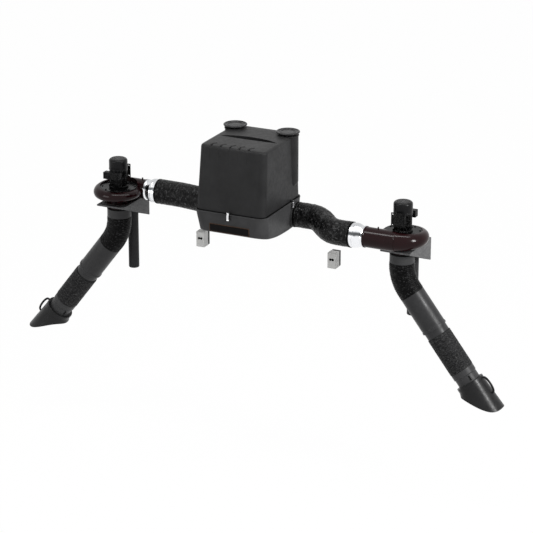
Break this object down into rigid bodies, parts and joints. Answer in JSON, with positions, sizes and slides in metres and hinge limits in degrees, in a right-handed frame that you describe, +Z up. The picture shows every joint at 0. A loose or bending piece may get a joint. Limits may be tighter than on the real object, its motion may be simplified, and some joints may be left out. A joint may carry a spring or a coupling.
{
  "type": "welding fume extractor",
  "caption": "Wall-mounted welding fume extractor with a moulded filter housing, bracket fans, ribbed ducts and swivelling telescopic arms that end in flared hoods.",
  "frame": {"origin": "on the wall behind the filter unit, at the centre of the wall frame's back face and at the height of the duct axes", "axes": "+X along the wall to the right as seen from the front, +Y into the wall, +Z up; the object stands out towards -Y"},
  "size_m": [4.3824, 0.795, 2.0246],
  "materials": {
    "moulded_black": "charcoal moulded plastic, fine grain",
    "moulded_grey": "dark grey moulded plastic, fine grain",
    "painted_steel": "grey powder coat",
    "black_steel": "black paint, satin",
    "cast_maroon": "dark maroon gloss paint",
    "tube_grey": "dark grey satin paint",
    "hood_grey": "dark grey moulded plastic, soft sheen",
    "hose_black": "black coated fabric over a wire spiral, matt",
    "bright_metal": "bright zinc or chrome",
    "bare_steel": "plain steel",
    "rubber": "matt black foam rubber",
    "filter_paper": "pleated filter paper",
    "switch_grey": "light grey plastic",
    "button_black": "black plastic"
  },
  "bodies": {
    "wall_unit": {"wall_frame": "painted_steel", "base_tub": "moulded_grey", "base_panel": "moulded_black", "inlet_collar_left": "bare_steel", "inlet_collar_right": "bare_steel", "filter_tray": "painted_steel", "prefilter": "bare_steel", "filter_cartridge": "filter_paper", "lid_seal": "rubber", "arm_bracket_left": "painted_steel", "support_post_left": "painted_steel", "fan_housing_left": "cast_maroon", "motor_plate_left": "black_steel", "motor_left": "black_steel", "motor_cowl_left": "black_steel", "terminal_box_left": "black_steel", "outlet_reducer_left": "bright_metal", "duct_hose_left": "hose_black", "switch_box_left": "switch_grey", "arm_bracket_right": "painted_steel", "support_post_right": "painted_steel", "fan_housing_right": "cast_maroon", "motor_plate_right": "black_steel", "motor_right": "black_steel", "motor_cowl_right": "black_steel", "terminal_box_right": "black_steel", "outlet_reducer_right": "bright_metal", "duct_hose_right": "hose_black", "switch_box_right": "switch_grey"},
    "lid_set": {"lid": "moulded_black", "outlet_cap_left": "moulded_black", "outlet_cap_right": "moulded_black"},
    "front_catch": {"latch_front": "bright_metal"},
    "left_catch": {"latch_left": "bright_metal"},
    "right_catch": {"latch_right": "bright_metal"},
    "rotor_left": {"impeller_left": "bare_steel"},
    "swivel_left": {"swivel_collar_left": "tube_grey", "elbow_pin_left": "bare_steel", "upper_hose_left": "hose_black"},
    "arm_left": {"outer_tube_left": "tube_grey", "lower_hose_left": "hose_black"},
    "telescope_left": {"telescope_rod_left": "bare_steel", "hood_neck_left": "hood_grey"},
    "flap_left": {"damper_left": "black_steel"},
    "hood_set_left": {"hood_left": "hood_grey"},
    "start_left": {"start_button_left": "button_black"},
    "stop_left": {"stop_button_left": "button_black"},
    "rotor_right": {"impeller_right": "bare_steel"},
    "swivel_right": {"swivel_collar_right": "tube_grey", "elbow_pin_right": "bare_steel", "upper_hose_right": "hose_black"},
    "arm_right": {"outer_tube_right": "tube_grey", "lower_hose_right": "hose_black"},
    "telescope_right": {"telescope_rod_right": "bare_steel", "hood_neck_right": "hood_grey"},
    "flap_right": {"damper_right": "black_steel"},
    "hood_set_right": {"hood_right": "hood_grey"},
    "start_right": {"start_button_right": "button_black"},
    "stop_right": {"stop_button_right": "button_black"}
  },
  "joints": [
    {"name": "lid_lift", "type": "slide", "parent": "wall_unit", "child": "lid_set", "axis": [0, 0, 1], "range_m": [0, 0.55]},
    {"name": "front_latch_hinge", "type": "hinge", "parent": "wall_unit", "child": "front_catch", "pos_m": [0, -0.7865, 0.083], "axis": [1, 0, 0], "range_deg": [0, 110]},
    {"name": "left_latch_hinge", "type": "hinge", "parent": "wall_unit", "child": "left_catch", "pos_m": [-0.3305, -0.268, 0.083], "axis": [0, -1, 0], "range_deg": [0, 80]},
    {"name": "right_latch_hinge", "type": "hinge", "parent": "wall_unit", "child": "right_catch", "pos_m": [0.3305, -0.268, 0.083], "axis": [0, 1, 0], "range_deg": [0, 80]},
    {"name": "impeller_spin_left", "type": "hinge", "parent": "wall_unit", "child": "rotor_left", "pos_m": [-1.273, -0.298, 0], "axis": [0, 0, 1], "continuous": true},
    {"name": "arm_swivel_left", "type": "hinge", "parent": "wall_unit", "child": "swivel_left", "pos_m": [-1.273, -0.298, -0.15], "axis": [0, 0, 1], "range_deg": [-3, 180]},
    {"name": "elbow_tilt_left", "type": "hinge", "parent": "swivel_left", "child": "arm_left", "pos_m": [-1.273, -0.298, -0.356], "axis": [0, 1, 0], "range_deg": [-27, 42], "deforming": ["upper_hose_left"]},
    {"name": "telescope_slide_left", "type": "slide", "parent": "arm_left", "child": "telescope_left", "axis": [-0.6088, 0, -0.7934], "range_m": [-0.12, 0.28], "deforming": ["lower_hose_left"]},
    {"name": "hood_turn_left", "type": "hinge", "parent": "telescope_left", "child": "hood_set_left", "pos_m": [-1.89089, -0.298, -1.16125], "axis": [-0.6088, 0, -0.7934], "continuous": true},
    {"name": "damper_turn_left", "type": "hinge", "parent": "telescope_left", "child": "flap_left", "pos_m": [-1.86837, -0.298, -1.1319], "axis": [0.6077, -0.6428, -0.4663], "range_deg": [0, 90]},
    {"name": "start_press_left", "type": "slide", "parent": "wall_unit", "child": "start_left", "axis": [0, 1, 0], "range_m": [0, 0.003], "stiffness_N_per_m": 500},
    {"name": "stop_press_left", "type": "slide", "parent": "wall_unit", "child": "stop_left", "axis": [0, 1, 0], "range_m": [0, 0.003], "stiffness_N_per_m": 500},
    {"name": "impeller_spin_right", "type": "hinge", "parent": "wall_unit", "child": "rotor_right", "pos_m": [1.313, -0.298, 0], "axis": [0, 0, 1], "continuous": true},
    {"name": "arm_swivel_right", "type": "hinge", "parent": "wall_unit", "child": "swivel_right", "pos_m": [1.313, -0.298, -0.15], "axis": [0, 0, 1], "range_deg": [-180, 3]},
    {"name": "elbow_tilt_right", "type": "hinge", "parent": "swivel_right", "child": "arm_right", "pos_m": [1.313, -0.298, -0.356], "axis": [0, -1, 0], "range_deg": [-27, 42], "deforming": ["upper_hose_right"]},
    {"name": "telescope_slide_right", "type": "slide", "parent": "arm_right", "child": "telescope_right", "axis": [0.6088, 0, -0.7934], "range_m": [-0.12, 0.28], "deforming": ["lower_hose_right"]},
    {"name": "hood_turn_right", "type": "hinge", "parent": "telescope_right", "child": "hood_set_right", "pos_m": [1.93089, -0.298, -1.16125], "axis": [0.6088, 0, -0.7934], "continuous": true},
    {"name": "damper_turn_right", "type": "hinge", "parent": "telescope_right", "child": "flap_right", "pos_m": [1.90837, -0.298, -1.1319], "axis": [0.5205, -0.7547, 0.3994], "range_deg": [0, 90]},
    {"name": "start_press_right", "type": "slide", "parent": "wall_unit", "child": "start_right", "axis": [0, 1, 0], "range_m": [0, 0.003], "stiffness_N_per_m": 500},
    {"name": "stop_press_right", "type": "slide", "parent": "wall_unit", "child": "stop_right", "axis": [0, 1, 0], "range_m": [0, 0.003], "stiffness_N_per_m": 500}
  ]
}
